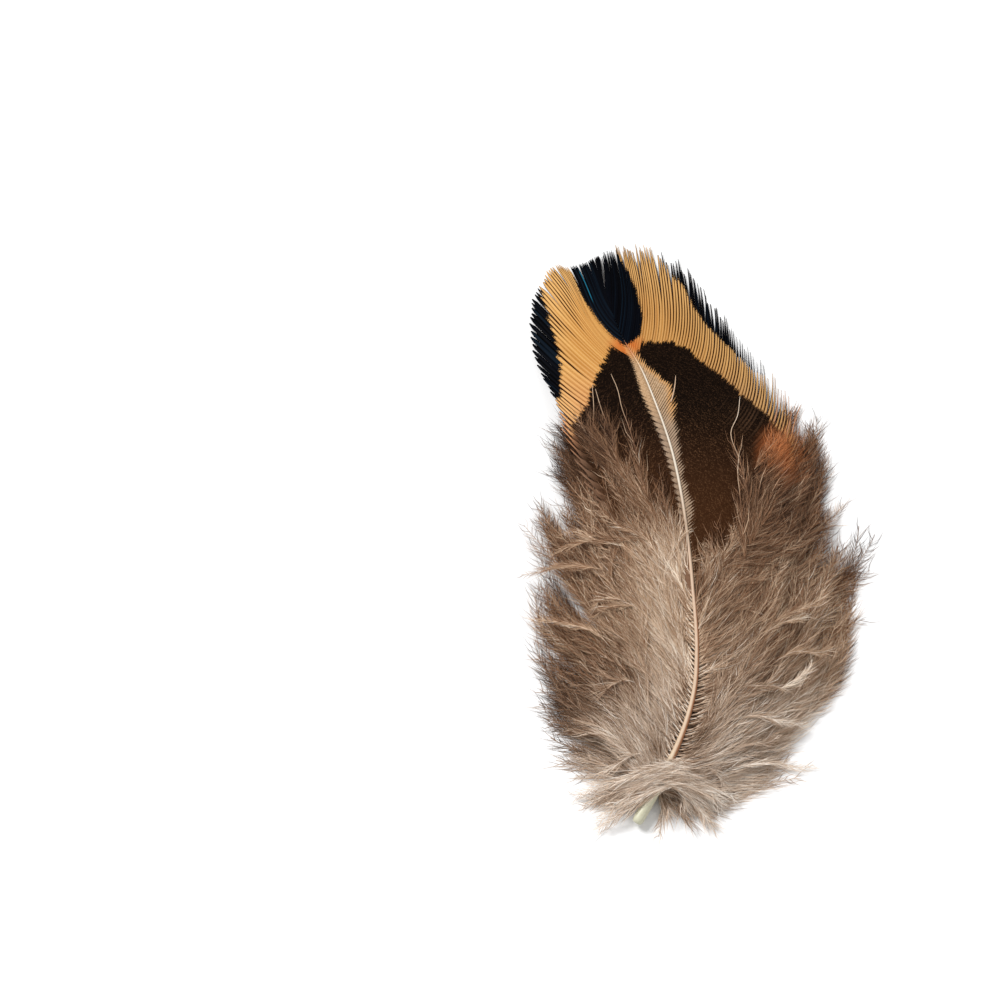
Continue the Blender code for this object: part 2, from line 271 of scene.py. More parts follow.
# Paler and darker patches of the down, partly its own uneven tone and partly painted light and shade
# of its locks and hollows: X, Y, radius and change
DOWN_PATCHES = [
    (-9.5, -16.5, 4.2, -0.36), (-5.0, -8.8, 2.6, 0.13), (-3.2, 0.5, 2.8, -0.13),
    (-12.5, -4.5, 3.0, -0.12), (-9.0, 2.5, 2.0, 0.12), (-6.5, -20.5, 2.6, 0.18),
    (7.0, -2.0, 3.2, -0.06), (6.7, -15.0, 2.4, -0.16), (14.0, -9.0, 5.0, 0.26),
    (13.0, -16.5, 3.5, 0.26), (9.5, -18.5, 4.0, 0.26), (4.0, -23.6, 2.8, 0.34), (5.0, -20.6, 2.4, 0.1),
    (13.2, -3.5, 4.0, 0.28), (13.0, 6.0, 3.0, 0.15), (7.8, 4.6, 3.0, -0.13), (6.5, -8.6, 3.2, -0.1),
]
# How much paler it is close to the shaft, and how far that reaches
PALER_NEAR = {-1: 0.5, 1: 0.12}
NEAR = 4.5
# Barbules: how far apart they stand, their length and half-width, by how many degrees they lean from the
# barb and how they roll about it: mean, spread, least and most
BARBULE_PITCH = 0.12
BARBULE_LENGTH = 3.1
BARBULE_HALF_WIDTH = 0.022
BARBULE_LEANS = (7, 27)
BARBULE_ROLLS = (-8, 24, -50, 26)
# At which share of its length a barbule bends
BARBULE_BENDS = 0.42
# Below 1, they stand further apart towards the barb's tip
BARBULES_THIN_OUT = 0.62
# The rusty patch at the right edge: its middle and how far it reaches to each side and along
RUST_PATCH = (10.8, 9.8)
RUST_SIZE = (2.1, 3.8)

# Afterfeather: its own small shaft, the angle at which its barbs leave it, how far the lowest and the
# highest reach, their pitch, how much paler they are, and the half-widths of that shaft's two ends
AFTER_SHAFT = [(-21.5, -0.3, 2.2), (-14.0, 1.2, 2.5), (-6.0, 1.6, 2.2), (2.0, 1.2, 1.5)]
AFTER_LEAVES = 42
AFTER_REACH = (8.0, 4.5)
AFTER_PITCH = 0.45
AFTER_TONE = 0.05
AFTER_STEM_WIDTHS = (0.16, 0.05)

# Tufts at the bottom that cross the quill: X, Y and Z of the middle barb's points from its root
TUFTS = {
    "left": [
        (1.8, -22.4, 1.5), (0.2, -22.7, 2.5), (-1.8, -23.3, 2.6), (-4.6, -24.3, 1.6),
        (-7.8, -25.4, 0.4),
    ],
    "right": [(-2.4, -22.6, 1.6), (-1, -22.8, 2.5), (0.9, -23.6, 2.2), (2.5, -24.8, 1.3), (3.9, -26, 0.5)],
    "low": [(-1.6, -22.4, 0.8), (-1, -23.4, 0.9), (-0.3, -24.4, 0.8), (0.3, -25.3, 0.6), (0.8, -26.2, 0.4)],
}
# On which side of the feather each lies and how pale it is
TUFT_SIDES = {"left": -1, "right": 1, "low": 1}
TUFT_TONES = {"left": 0.24, "right": 0.24, "low": 0.05}
# Barbs in each, rings in a barb, how far they spread in X, Y and Z, and how long their barbules are as a
# share of the usual length
TUFT_BARBS = 14
TUFT_RINGS = 18
TUFT_SPREAD = (0.75, 0.75, 0.25)
TUFT_FLUFF = 0.75
# How far up and down the quill their roots are spread
TUFT_SHIFTS = (-1.5, 0.7)

# Wisps that have come loose and lie across the down: how many, how long, how far they turn, the share of
# the usual length that their barbules have, and how much paler they are
WISPS = 50
WISP_LENGTHS = (4.0, 9.0)
WISP_TURN = 18
WISP_FLUFF = 0.55
WISP_TONE = 0.12

# Loose downy barbs that lie on the vane, as plan points from the root to the bare tip
STRAYS = [
    [(-2.1, 2.9), (-2.9, 6.9), (-3.5, 10.4), (-4.0, 12.6), (-4.6, 14.8), (-5.0, 17.2), (-5.6, 19.1)],
    [(7.4, -1.2), (7.6, 2.9), (7.3, 6.2), (6.8, 9.1), (6.2, 12.2), (7.0, 14.4), (7.4, 17.0)],
    [(-7.2, 8.0), (-7.5, 12.2), (-7.4, 14.8), (-7.5, 17.9)],
    [(-5.2, 8.6), (-6.1, 13.0), (-6.6, 14.7), (-7.2, 17.4)],
    [(6.9, -2.4), (6.8, 1.2), (6.7, 4.4), (6.6, 7.0), (6.9, 9.6)],
    [(7.8, -0.6), (8.3, 3.4), (9.0, 6.8), (10.2, 9.8)],
    [(8.6, 1.0), (9.6, 4.4), (10.9, 7.2), (12.0, 8.8)],
]
# Over which share from the root they are fluffy, how thick they are, and how much paler the bare tip is
STRAY_FLUFFY = 0.66
STRAY_ROOT = 0.035
STRAY_PALER = 0.75
# Bare pale barb tips, one on the dark middle and the rest at the right edge: foot, tip, how much paler than
# the down they are and how rusty
PALE_TIPS = [
    ((0.3, 15.5), (0.95, 18.9), 0.7, 0.1), ((10.8, 14.4), (11.5, 18.3), 0.45, 0.5),
    ((12.0, 13.0), (12.8, 16.2), 0.45, 0.5), ((12.6, 13.4), (13.7, 17.1), 0.45, 0.5),
]
PALE_TIP_ROOT = 0.06
# How high all of these lie on the vane, and how much higher the strays' roots lie on the down
STRAY_LIFT = 0.16
STRAY_ROOT_LIFTS = {-1: 0.0, 1: 0.45}

# Lamps: place in metres, size and power, and the light that comes from all round
LAMPS = {"key": ((-0.35, 0.25, 0.5), 0.25, 4.2), "fill": ((0.5, -0.2, 0.5), 0.5, 1.0)}
SURROUNDINGS = 0.42

# Camera: how steeply it looks down, how far it stands from the floor point that it aims at, in metres
CAMERA_ELEVATION = 65.0
CAMERA_DISTANCE = 0.278
CAMERA_LENS = 100.0
CAMERA_AIM = (-0.0190, 0.00236, 0.0)


def unit(vectors):
    return vectors / np.maximum(np.linalg.norm(vectors, axis=-1, keepdims=True), 1e-9)


def ease(shares):
    shares = np.clip(shares, 0, 1)
    return shares * shares * (3 - 2 * shares)


def smooth(knots, at):
    """Values on a smooth curve through the knots, whose first column is what it runs along."""
    knots = np.array(knots, float)
    x, y = knots[:, 0], knots[:, 1:]
    slope = np.gradient(y, x, axis=0)
    at = np.asarray(at, float)
    i = np.clip(np.searchsorted(x, at) - 1, 0, len(x) - 2)
    step = x[i + 1] - x[i]
    t = ((at - x[i]) / step)[..., None]
    step = step[..., None]
    return (
        y[i] * (1 + 2 * t) * (1 - t) ** 2
        + slope[i] * step * t * (1 - t) ** 2
        + y[i + 1] * t * t * (3 - 2 * t)
        + slope[i + 1] * step * t * t * (t - 1)
    )


def straight(knots, at):
    knots = np.array(knots, float)
    return np.interp(at, knots[:, 0], knots[:, 1])


def shaft_points(stations):
    across_and_up = smooth(SHAFT, stations)
    return np.stack([across_and_up[..., 0], stations, across_and_up[..., 1]], axis=-1)


def crown(plans):
    """Height of the feather's upper face over plan points: arched along it and cambered across."""
    on_shaft = np.clip(plans[..., 1], QUILL_END, SHAFT_TIP)
    middle = shaft_points(on_shaft)
    beyond = np.maximum(plans[..., 1] - SHAFT_TIP, 0)
    height = middle[..., 2] - TIP_DROOP * beyond - CAMBER * (plans[..., 0] - middle[..., 0]) ** 2
    return np.maximum(height, LOWEST_CROWN)


def crown_ups(plans):
    """Unit vectors that stand on the upper face."""
    reach = 0.2
    rise_x = crown(plans + (reach, 0)) - crown(plans - (reach, 0))
    rise_y = crown(plans + (0, reach)) - crown(plans - (0, reach))
    return unit(np.stack([-rise_x, -rise_y, np.full_like(rise_x, 2 * reach)], axis=-1))


def off_shaft(plans):
    """Each plan point's level on the shaft, and how far to the side of the shaft it lies."""
    level = np.clip(plans[..., 1], QUILL_END, SHAFT_TIP)
    return level, np.abs(plans[..., 0] - shaft_points(level)[..., 0])


def raised(plans, heights):
    return np.concatenate([plans, heights[..., None]], axis=-1)


def headings(degrees):
    return np.stack([np.sin(np.radians(degrees)), np.cos(np.radians(degrees))], axis=-1)


def barb_plans(side, stations, shares, ends, bows, leave=1.0):
    """Plan points of barbs that end there, at these shares of their length, a row for each station."""
    foot = shaft_points(stations)[:, None, :2]
    ahead = shaft_points(stations + 0.1)[:, None, :2]
    ends = ends[:, None, :]
    tip = ends[..., :2]
    along = np.degrees(np.arctan2((ahead - foot)[..., 0], (ahead - foot)[..., 1]))
    leaves = headings(along + side * leave * straight(BARB_LEAVES, stations)[:, None])
    reach = np.linalg.norm(tip - foot, axis=-1, keepdims=True)
    near = foot + leaves * reach * bows[0]
    far = tip - headings(ends[..., 2]) * reach * bows[1]
    t = shares[..., None]
    return foot * (1 - t) ** 3 + 3 * near * t * (1 - t) ** 2 + 3 * far * t * t * (1 - t) + tip * t ** 3


def turned(plans, turns):
    """Plan lines of which each step is turned by so many degrees from +Y towards +X."""
    steps = np.diff(plans, axis=1)
    angle = np.radians(turns[:, 1:])
    x = steps[..., 0] * np.cos(angle) + steps[..., 1] * np.sin(angle)
    y = steps[..., 1] * np.cos(angle) - steps[..., 0] * np.sin(angle)
    walked = np.cumsum(np.stack([x, y], axis=-1), axis=1)
    return np.concatenate([plans[:, :1], plans[:, :1] + walked], axis=1)


def inside_by(plans, outline):
    """How far inside the closed outline each plan point lies, negative where it is outside."""
    start = np.array(outline, float)
    end = np.roll(start, -1, axis=0)
    edge = end - start
    points = plans.reshape(-1, 1, 2)
    t = np.clip(((points - start) * edge).sum(-1) / (edge ** 2).sum(-1), 0, 1)
    gap = np.linalg.norm(points - start - t[..., None] * edge, axis=-1).min(axis=1)
    level = np.where(edge[:, 1] == 0, 1e-9, edge[:, 1])
    crosses = (start[:, 1] > points[..., 1]) != (end[:, 1] > points[..., 1])
    at = start[:, 0] + (points[..., 1] - start[:, 1]) / level * edge[:, 0]
    inside = (crosses & (points[..., 0] < at)).sum(axis=1) % 2 == 1
    return np.where(inside, gap, -gap).reshape(plans.shape[:-1])


def placed(points):
    """Points in metres about the feather's own origin."""
    return (points - (MIDDLE[0], MIDDLE[1], 0.0)) * MM


def store(mesh, key, values):
    """Keep a value on each of the mesh's points, for its material to read."""
    mesh.attributes.new(key, "FLOAT", "POINT").data.foreach_set("value", values.astype(np.float32))


class Batch:
    """Points and faces that will be joined in one mesh, with values on points and maps on corners."""

    def __init__(self):
        self.points = []
        self.faces = []
        self.values = []
        self.charts = []
        self.count = 0

    def add(self, points, faces, values, chart):
        """faces are arrays of point numbers; chart gives each point's place on the bake's map."""
        self.points.append(points)
        self.faces += [part + self.count for part in faces]
        self.values.append(values)
        self.charts.append(chart)
        self.count += len(points)

    def mesh(self, name):
        points = np.concatenate(self.points)
        corners = np.concatenate([part.ravel() for part in self.faces])
        sizes = np.concatenate([np.full(len(part), part.shape[1]) for part in self.faces])
        starts = np.concatenate([[0], np.cumsum(sizes)[:-1]])
        made = bpy.data.meshes.new(name)
        made.vertices.add(len(points))
        made.vertices.foreach_set("co", placed(points).astype(np.float32).ravel())
        made.loops.add(len(corners))
        made.loops.foreach_set("vertex_index", corners.astype(np.int32))
        made.polygons.add(len(sizes))
        made.polygons.foreach_set("loop_start", starts.astype(np.int32))
        made.update(calc_edges=True)
        for key in self.values[0]:
            store(made, key, np.concatenate([part[key] for part in self.values]))
        chart = np.concatenate(self.charts)[corners]
        made.uv_layers.new(name="OFBake").uv.foreach_set("vector", chart.astype(np.float32).ravel())
        return made


def dressed(piece, material, smooth_faces):
    """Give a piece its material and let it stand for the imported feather."""
    piece.data.materials.append(material)
    if smooth_faces:
        piece.data.shade_smooth()
    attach(piece, "root")
    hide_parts("feather")


def shown(name, batch, material, smooth_faces=False):
    """Put a batch into the scene as one dressed piece."""
    piece = bpy.data.objects.new(name, batch.mesh(name))
    bpy.context.scene.collection.objects.link(piece)
    dressed(piece, material, smooth_faces)


def across_of(lines, ups):
    along = unit(np.gradient(lines, axis=1))
    across = unit(np.cross(along, ups))
    return along, across, np.cross(across, along)


def add_tubes(batch, lines, ups, half_widths, section, rises, values):
    """Closed tapered strands: lines (strand, ring, XYZ), a section round each ring and caps."""
    section = np.array(section, float)
    along, across, up = across_of(lines, ups)
    strands, rings = lines.shape[:2]
    sides = len(section)
    points = (
        lines[:, :, None]
        + across[:, :, None] * (half_widths[..., None] * section[:, 0])[..., None]
        + up[:, :, None] * (rises[..., None] * section[:, 1])[..., None]
    )
    number = np.arange(strands * rings * sides).reshape(strands, rings, sides)
    beside = np.roll(number, -1, axis=2)
    quads = np.stack([number[:, :-1], beside[:, :-1], beside[:, 1:], number[:, 1:]], axis=-1).reshape(-1, 4)
    caps = np.concatenate([number[:, 0, ::-1], number[:, -1]])
    shares = np.broadcast_to(np.linspace(0, 1, rings)[:, None], number.shape)
    rows = (np.arange(strands)[:, None, None] + np.linspace(0.1, 0.9, sides)) / strands
    chart = np.stack([shares, np.broadcast_to(rows, number.shape)], axis=-1)
    spread = {key: np.broadcast_to(value, number.shape).ravel() for key, value in values.items()}
    batch.add(points.reshape(-1, 3), [quads, caps], spread, chart.reshape(-1, 2))


def local_gaps(plans):
    """Distance from each barb to its neighbours, square to it, at each point."""
    along = unit(np.gradient(plans, axis=1))
    step = np.diff(plans, axis=0)
    gap = np.abs(along[:-1, :, 0] * step[..., 1] - along[:-1, :, 1] * step[..., 0])
    after = np.concatenate([gap, gap[-1:]])
    before = np.concatenate([gap[:1], gap])
    return (after + before) / 2


def stripe_by(side, plans):
    """How far inside the cream stripe each plan point lies."""
    level, off = off_shaft(plans)
    return straight(STRIPE[side], level) - off


def clumped(chance, count):
    """For each of a row of barbs, where it stands in its clump, from -1 to 1."""
    places = []
    while len(places) < count:
        places += np.linspace(-1, 1, chance.integers(CLUMP_SIZES[0], CLUMP_SIZES[1] + 1)).tolist()
    return np.array(places[:count])


def gap_shades(chance, barbs):
    """How much painted shade darkens the gap before each barb along it, with one more row for the last barb's
    far side.
    """
    shape = (barbs + 1, 1)
    share, extra_darkness = DARK_GAP_SHADES
    gap_darkness = chance.uniform(0.35, 0.85, shape) + extra_darkness * (chance.uniform(0, 1, shape) > 1 - share)
    cycles = chance.uniform(0.5, 2.5, shape)
    phases = chance.uniform(0, 1, shape)
    along = np.linspace(0, 1, VANE_RINGS)
    wave = np.sin(2 * np.pi * (cycles * along + phases))
    return np.clip((gap_darkness + 0.3 * wave) * (0.5 + 0.7 * ease((along - 0.4) / 0.5)), 0.06, 1.3)


def teal_glint_at(side, plans):
    """1 on the left barb that runs nearest to the one with the painted teal glint, between its two ends."""
    start, end = np.array(TEAL_GLINT_BARB)
    middle = (start + end) / 2
    nearest = np.unravel_index(np.linalg.norm(plans - middle, axis=-1).argmin(), plans.shape[:2])[0]
    level = plans[nearest, :, 1]
    marked = np.zeros(plans.shape[:2])
    marked[nearest] = ease((level - end[1]) / 1.2) * ease((start[1] - level) / 0.6) * (side < 0)
    return marked


def ribs_at(chance, plans, heart):
    """How clearly each barb shows as a paler line on the dark middle, near its rim and low down."""
    own = chance.uniform(-0.15, 0.5, (len(plans), 1)).clip(0)
    level = plans[..., 1]
    return own * ease((18 - level) / 5) * ease((5.5 - heart) / 4.5) * ease((level - 1) / 6)


def vane_stations(side):
    stations = [WEB_START]
    while stations[-1] < SHAFT_TIP - 0.1:
        stations.append(stations[-1] + straight(VANE_PITCHES[side], stations[-1]))
    return np.array(stations[:-1])


def vane_values(chance, side, plans, shares, firm, heart):
    """What the vane's material reads at the points of its barbs."""
    barbs = len(plans)
    jag = chance.normal(0, JAG, (barbs, 1))
    from_notch = np.linalg.norm(plans - NOTCH, axis=-1)
    stripe = stripe_by(side, plans) + STRIPE_JAGS[side] * jag
    # How much of the painted shade in the gaps between barbs is left near the notch and on the stripe
    least = GAP_SHADE_AT_NOTCH[side]
    calm = least + (1 - least) * ease((from_notch - 2.5) / 6)
    calm = calm * (1 - (1 - GAP_SHADE_ON_STRIPE[side]) * ease(stripe / 0.3 + 0.5))
    calm = np.concatenate([calm, calm[-1:]])
    gap_darkness = np.minimum(GAP_SHADE[side] * gap_shades(chance, barbs) * calm, DARKEST_GAP_SHADE)[..., None]
    walked = np.linalg.norm(np.gradient(plans, axis=1), axis=-1).cumsum(axis=1)
    faded = ease((FADES_BELOW[side] - plans[..., 1]) / 3)
    along_barbs = {
        "heart": heart + jag,
        "wedge": inside_by(plans, WEDGE) + 0.3 * jag,
        "spot": inside_by(plans, EDGE_SPOTS[side]) + 0.6 * jag,
        "stripe": stripe,
        "notch": from_notch,
        "loose": np.maximum(ease((shares - firm + LOOSE_PART) / 0.2) * (firm < 0.99), faded),
        "split": ease((shares - 0.55 * firm) / (0.4 * firm)),
        "tone": chance.uniform(0, 1, (barbs, 1)),
        # painted shade that darkens the gold, more on the right half and low down
        "side_shade": SIDE_SHADE[side] * (0.45 + 0.55 * ease((26 - plans[..., 1]) / 10)),
        "rust": rust_at(plans) * (side > 0),
        "ribs": ribs_at(chance, plans, heart) * (side > 0),
        "teal": teal_glint_at(side, plans),
        "along": walked + 40.0 * np.arange(barbs)[:, None],
        "level": plans[..., 1],
    }
    across = np.array(BARB_SECTION)[:, 0]
    round_barbs = {
        "comb": STRIPE_TEETH[side],
        "across": np.abs(across),
        # painted shade of the gaps to each side of the barb
        "gap_shade": np.where(across < 0, gap_darkness[:-1], gap_darkness[1:]),
        "under": np.arange(len(across)) >= TOP_SIDES,
    }
    return {key: value[..., None] for key, value in along_barbs.items()} | round_barbs


def make_vane(side, word, material):
    chance = np.random.default_rng(SEED + side)
    stations = vane_stations(side)
    each = (len(stations), 1)
    ends = smooth(BARB_TIPS[side], stations)
    firm = straight(WEB_SHARE[side], stations)[:, None]
    length = np.minimum(1, firm + LOOSE_PART) - chance.uniform(0, TIPS_VARY[side], each)
    shares = np.linspace(0, 1, VANE_RINGS) * length
    even_plans = barb_plans(side, stations, shares, ends, BARB_BOWS[side])
    clumps = side * straight(CLUMPING[side], stations) * clumped(chance, len(stations))
    sway = chance.normal(0, BARBS_SWAY[side], each) + clumps[:, None]
    plans = turned(even_plans, sway * ease((shares - SWAYS_FROM) / (1 - SWAYS_FROM)))
    opens = straight(BARB_OPENS[side], stations)[:, None] * chance.uniform(0.94, 1.05, each)
    opens = np.minimum(opens, 1) * firm
    cover = OVERLAP - (OVERLAP - OPEN_WIDTH) * ease((shares - opens) / (firm * 1.03 - opens))
    cover = cover * (1 - (1 - POINT_WIDTH) * ease((shares / length - 1) / POINTED[side] + 1))
    thinnest = THINNEST[0] + THINNEST[1] * (1 - shares)
    half_widths = np.maximum(0.5 * local_gaps(even_plans) * cover, thinnest)
    wave = WAVE * np.sin(0.7 * stations[:, None] + 2 * side) * shares
    lines = raised(plans, crown(plans) + chance.normal(0, UNEVEN, each) + wave)
    heart = inside_by(plans, HEART)
    rises = np.clip(half_widths / 0.12, 0.2, 1) * (RIDGES[0] - RIDGES[1] * ease(heart / 0.5 + 0.5))
    values = vane_values(chance, side, plans, shares, firm, heart)
    batch = Batch()
    add_tubes(batch, lines, crown_ups(plans), half_widths, BARB_SECTION, rises, values)
    shown(f"vane_{word}", batch, material, smooth_faces=True)


def down_tones(points, side):
    """How pale the down is over the plan, 0 to 1, before each barb's own chance."""
    level, off = off_shaft(points)
    near = PALER_NEAR[side] * np.exp(-((off / NEAR) ** 2)) * ease((6 - level) / 10) * ease((level + 26) / 14)
    tone = straight(DOWN_TONES[side], level) + near
    # Patches: partly the down's own tone, partly painted light and shade of its locks and hollows
    for x, y, radius, change in DOWN_PATCHES:
        away = ((points[..., 0] - x) ** 2 + (points[..., 1] - y) ** 2) / radius ** 2
        tone = tone + change * np.exp(-away)
    return tone


def comb_at(points, side):
    """1 close beside the shaft where the barbs' feet are bare, 0 away from it."""
    level, off = off_shaft(points)
    near, far = COMB_WIDTHS[side]
    beside = 1 - ease((off - near) / (far - near))
    return beside * ease((COMB_TOP[side] - level) / 4) * ease((level + 22.5) / 2)


def rust_at(points):
    off = np.linalg.norm((points[..., :2] - RUST_PATCH) / RUST_SIZE, axis=-1)
    return ease(1.3 - off)


def add_barbules(batch, lines, starts, ends, tones, side, chance, fluff, shade, short):
    """Two rows of fine barbules on each line, between its two shares, that bend towards its tip."""
    strands, rings = lines.shape[:2]
    walked = np.linalg.norm(np.diff(lines, axis=1), axis=-1).sum(axis=1)
    counts = np.maximum((2 * walked * (ends - starts) / BARBULE_PITCH).astype(int), 1)
    which = np.repeat(np.arange(strands), counts)
    many = len(which)
    order = np.arange(many) - np.repeat(np.cumsum(counts) - counts, counts)
    since = 1 - (1 - (order + chance.uniform(0, 1, many)) / counts[which]) ** BARBULES_THIN_OUT
    share = np.clip(starts[which] + (ends - starts)[which] * since, 0, 0.999)
    row = np.where(order % 2 == 0, -1.0, 1.0)
    at = share * (rings - 1)
    low = at.astype(int)
    rest = (at - low)[:, None]

    def read(field):
        return field[which, low] * (1 - rest) + field[which, low + 1] * rest

    foot = read(lines)
    along, across, up = [unit(read(field)) for field in across_of(lines, UP)]
    mean, spread, least, most = BARBULE_ROLLS
    rolls = np.radians(np.clip(chance.normal(mean, spread, many), least, most))[:, None]
    out = across * row[:, None] * np.cos(rolls) + up * np.sin(rolls)
    leans = chance.uniform(*BARBULE_LEANS, many) * (1 + 0.9 * ease((since - 0.5) / 0.5))
    leans = np.radians(leans)[:, None]
    later_leans = leans * chance.uniform(0.1, 0.7, (many, 1))
    drift = chance.normal(0, 1, (many, 3)) * (0.1, 0.1, 0.07) * (1 + since[:, None])
    comb = comb_at(foot, side)
    way = along * np.cos(leans) + out * np.sin(leans)
    later = unit(along * np.cos(later_leans) + out * np.sin(later_leans) + drift)
    grow = fluff * ease(since / 0.12 + 0.15) * (1 - 0.35 * ease((since - 0.5) / 0.5))
    grow = grow * (1 - 0.9 * short * comb)
    size = (BARBULE_LENGTH * chance.uniform(0.5, 1.3, many) * grow + 0.2)[:, None]
    bend = foot + way * size * BARBULE_BENDS
    tip = bend + later * size * (1 - BARBULE_BENDS)
    flat = unit(np.cross(way, up + chance.normal(0, 0.6, (many, 3)))) * BARBULE_HALF_WIDTH
    points = np.stack([foot - flat, foot + flat, bend - flat, bend + flat, tip], axis=1)
    points[..., 2] = np.maximum(points[..., 2], LOWEST)
    points[..., 2] -= HIGH_PRESS * np.maximum(points[..., 2] - HIGH, 0)
    tone = down_tones(foot, side) + tones[which] + chance.normal(0, 0.22, many)
    tone = tone - shade * COMB_SHADE[side] * comb
    place = np.array([0.0, 0.0, BARBULE_BENDS, BARBULE_BENDS, 1.0])
    values = {"tone": tone[:, None], "fine": place, "level": foot[:, 1:2], "rust": rust_at(foot)[:, None]}
    values = {key: np.broadcast_to(value, (many, 5)).ravel() for key, value in values.items()}
    u = np.clip(share[:, None] + 0.002 * np.array([-1, 1, -1, 1, 0]), 0, 1)
    v = (which[:, None] + 0.5 + 0.45 * row[:, None] * place) / strands
    chart = np.stack([u, v], axis=-1).reshape(-1, 2)
    first = np.arange(many)[:, None] * 5
    batch.add(points.reshape(-1, 3), [first + [0, 1, 3, 2], first + [2, 3, 4]], values, chart)


def add_plumes(
    batch, lines, starts, ends, tones, side, chance,
    root=0.03, taper=1.5, paler=0.35, fluff=1.0, rust=0.0, shade=0, short=0,
):
    """Downy barbs: a thin stem on each line, and barbules to both sides between two shares of it."""
    strands, rings = lines.shape[:2]
    starts, ends, tones = [np.broadcast_to(part, strands) for part in (starts, ends, tones)]
    half_widths = np.tile(root * (1 - np.linspace(0, 1, rings)) ** taper + 0.024, (strands, 1))
    lines = raised(lines[..., :2], np.maximum(lines[..., 2], LOWEST + 0.05))
    tone = down_tones(lines, side) + tones[:, None] + paler - shade * COMB_SHADE[side] * comb_at(lines, side)
    values = {
        "tone": tone[..., None],
        "fine": 0.0,
        "level": lines[..., 1:2],
        "rust": np.maximum(rust_at(lines), rust)[..., None],
    }
    add_tubes(batch, lines, UP, half_widths, RAMUS_SECTION, half_widths, values)
    if fluff > 0:
        add_barbules(batch, lines, starts, ends, tones, side, chance, fluff, shade, short)


def drifting(chance, stations):
    """Chance values from 0 to 1 that change smoothly along the shaft, so that neighbours keep together."""
    knots = np.arange(stations.min() - WISP, stations.max() + 2 * WISP, WISP)
    return np.interp(stations, knots, chance.uniform(0, 1, len(knots)))


def wavy(chance, stations, walk):
    """Degrees by which each line turns to and fro along its length, and more near its tip."""
    often, phase, size, curl = [drifting(chance, stations)[:, None] for _ in range(4)]
    curl = 44 * (curl - 0.5) + chance.normal(0, 15, (len(stations), 1))
    own = chance.normal(0, 4, (len(stations), 1))
    swing = np.sin(2 * np.pi * ((0.6 + 1.2 * often) * walk + 1.5 * phase))
    return ((6 + 12 * size) * swing + own) * ease(walk * 3) + curl * ease((walk - 0.6) / 0.4)


def down_lines(side, stations, chance, layer):
    """Lines of downy barbs in the round; those that sweep in most lie highest."""
    each = (len(stations), 1)
    least, most = layer["sweep"]
    mixing = np.clip(drifting(chance, stations) + chance.normal(0, 0.12, len(stations)), 0, 1)[:, None]
    sweep = least + (most - least) * mixing
    outer = smooth(BARB_TIPS[side], stations)
    ends = outer + (smooth(SWEEP_TIPS[side], stations) - outer) * sweep
    webbed = (stations > WEB_START) & (layer["name"] != "close")
    firm = np.where(webbed, straight(DOWN_FROM, stations), 0.0)[:, None]
    walk = np.tile(np.linspace(0, 1, DOWN_RINGS), each)
    together, alone = REACH_VARIES
    reach = straight(DOWN_REACH[side], stations)[:, None] - together * drifting(chance, stations)[:, None]
    reach = reach - chance.uniform(0, alone, each)
    shares = firm + (np.maximum(reach, firm + 0.06) - firm) * walk
    near, far = layer["bows"]
    near = near + STAND_OUT[side] * ease((COMB_TOP[side] + 2 - stations) / 4)[:, None, None]
    plans = barb_plans(side, stations, shares, ends, (near, far + STEEPER[side]), layer["leave"])
    plans = turned(plans, wavy(chance, stations, walk) * layer["waves"] * (1.1 - 0.7 * np.minimum(sweep, 1)))
    face = crown(plans)
    low, high = layer["rise"]
    ripple = 0.2 * np.sin(2 * np.pi * (walk + drifting(chance, stations)[:, None]))
    settled = (low + (high - low) * mixing) * face + layer["over"] * (0.3 + sweep) + ripple * walk
    root = np.where(firm > 0, face, shaft_points(stations)[:, None, 2] - 0.25 * (1 - high))
    blend = ease(walk * 4)
    return raised(plans, root * (1 - blend) + settled * blend)


def make_down(side, word, layer, material):
    """One side of a layer as two pieces, so that none grows too large."""
    chance = np.random.default_rng([SEED, side + 1, *layer["name"].encode()])
    stations = np.arange(DOWN_START, min(DOWN_ENDS[side], layer["last"]), layer["pitch"])
    stations = stations + chance.uniform(-0.08, 0.08, len(stations))
    lines = down_lines(side, stations, chance, layer)
    starts = np.where(stations > WEB_START, 0.0, 0.05)
    # Lower layers are painted darker, as shade, and the top one paler
    tones = layer["tone"] + 0.1 * chance.normal(0, 1, len(stations))
    looks = {"shade": layer["shade"], "short": layer["short"]}
    for part, chosen in (("low", stations < DOWN_SPLIT), ("high", stations >= DOWN_SPLIT)):
        batch = Batch()
        add_plumes(batch, lines[chosen], starts[chosen], 1.0, tones[chosen], side, chance, **looks)
        shown(f"down_{word}_{layer['name']}_{part}", batch, material)


def fanned(feet, first, last, lengths, rings, chance):
    """Plan lines from these feet that turn from their first heading to their last."""
    walk = np.broadcast_to(np.linspace(0, 1, rings), (len(feet), rings))
    bends = wavy(chance, feet[:, 1], walk)
    degrees = first[:, None] + (last - first)[:, None] * ease(walk * 1.2) + bends
    steps = headings(degrees[:, 1:]) * (lengths / (rings - 1))[:, None, None]
    walked = np.concatenate([np.zeros((len(feet), 1, 2)), np.cumsum(steps, axis=1)], axis=1)
    return feet[:, None, :] + walked, walk


